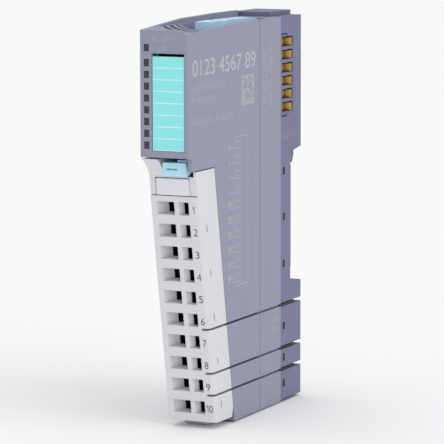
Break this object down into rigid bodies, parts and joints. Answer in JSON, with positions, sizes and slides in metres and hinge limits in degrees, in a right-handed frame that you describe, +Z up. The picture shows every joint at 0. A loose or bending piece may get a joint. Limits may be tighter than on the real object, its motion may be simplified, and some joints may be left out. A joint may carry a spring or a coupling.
{
  "type": "plc slice module",
  "caption": "Narrow rail-mounted controller slice: base with side bus contacts, plug-in electronics and a slanted push-in terminal connector.",
  "frame": {"origin": "centre of the face that rests against the mounting rail's front", "axes": "+Y back towards the rail, +Z up, +X to the right seen from the front"},
  "size_m": [0.014, 0.073, 0.1097],
  "materials": {
    "housing_plastic": "fine matt moulded polycarbonate, blue grey",
    "base_plastic": "matt moulded polycarbonate, darker violet grey",
    "white_plastic": "matt moulded polyamide, light grey",
    "blue_plastic": "satin moulded plastic, light blue",
    "dark_plastic": "matt black contact carrier",
    "window": "smoked clear indicator window",
    "chip_white": "ceramic light chip",
    "chip_black": "moulded epoxy chip",
    "label": "turquoise printed card",
    "gold": "gold plated spring bronze",
    "brass": "tinned brass",
    "copper": "lacquered copper wire",
    "spring_steel": "bright spring steel",
    "can_aluminium": "bright can",
    "ferrite": "sintered ferrite",
    "board_green": "solder resist on glass laminate"
  },
  "bodies": {
    "base": {"base_shell": "base_plastic", "base_lid": "base_plastic", "bus_carrier": "base_plastic", "bus_contacts": "gold", "bus_pads": "gold", "base_board": "board_green", "base_socket": "dark_plastic", "power_springs": "brass", "slide_spring": "spring_steel"},
    "rail_catch": {"rail_slide": "base_plastic"},
    "fastener": {"turn_fastener": "dark_plastic"},
    "electronics": {"electronics_shell": "housing_plastic", "side_cover": "housing_plastic", "indicator_windows": "window", "indicator_lights": "chip_white", "circuit_board": "board_green", "module_plug": "dark_plastic", "plug_pins": "gold", "contact_header": "dark_plastic", "header_blades": "brass", "coil_core": "ferrite", "coil_winding": "copper", "capacitors": "can_aluminium", "chips": "chip_black", "fuse": "can_aluminium", "label_card": "label", "lever_pin": "spring_steel", "lever_spring": "spring_steel", "ejector_pin": "spring_steel"},
    "lever": {"release_lever": "blue_plastic"},
    "ejector": {"ejector_tab": "blue_plastic"},
    "connector": {"connector_shell": "white_plastic", "connector_back": "white_plastic", "clamp_springs": "spring_steel", "current_bars": "brass", "tag_plate": "white_plastic"}
  },
  "joints": [
    {"name": "fastener_turn", "type": "hinge", "parent": "base", "child": "fastener", "pos_m": [-0.0018, 0, -0.0404], "axis": [0, 1, 0], "range_deg": [0, 90]},
    {"name": "catch_slide", "type": "slide", "parent": "base", "child": "rail_catch", "axis": [0, 0, -1], "range_m": [0, 0.002], "stiffness_N_per_m": 100, "springref_m": -0.001, "deforming": ["slide_spring"]},
    {"name": "module_pull", "type": "slide", "parent": "base", "child": "electronics", "axis": [0, -1, 0], "range_m": [0, 0.02]},
    {"name": "lever_press", "type": "hinge", "parent": "electronics", "child": "lever", "pos_m": [0, -0.0333, 0.0536], "axis": [1, 0, 0], "range_deg": [0, 4], "stiffness_Nm_per_rad": 0.05, "springref_deg": -2.86, "deforming": ["lever_spring"]},
    {"name": "ejector_lift", "type": "hinge", "parent": "electronics", "child": "ejector", "pos_m": [0, -0.057, 0.0197], "axis": [-1, 0, 0], "range_deg": [0, 5], "stiffness_Nm_per_rad": 0.01, "springref_deg": -2.86},
    {"name": "connector_swing", "type": "hinge", "parent": "electronics", "child": "connector", "pos_m": [0, -0.03721, -0.04836], "axis": [1, 0, 0], "range_deg": [0, 25]}
  ],
  "couplings": [
    {"joint": "fastener_turn", "follows": "catch_slide", "rad_per_m": 785.39}
  ]
}
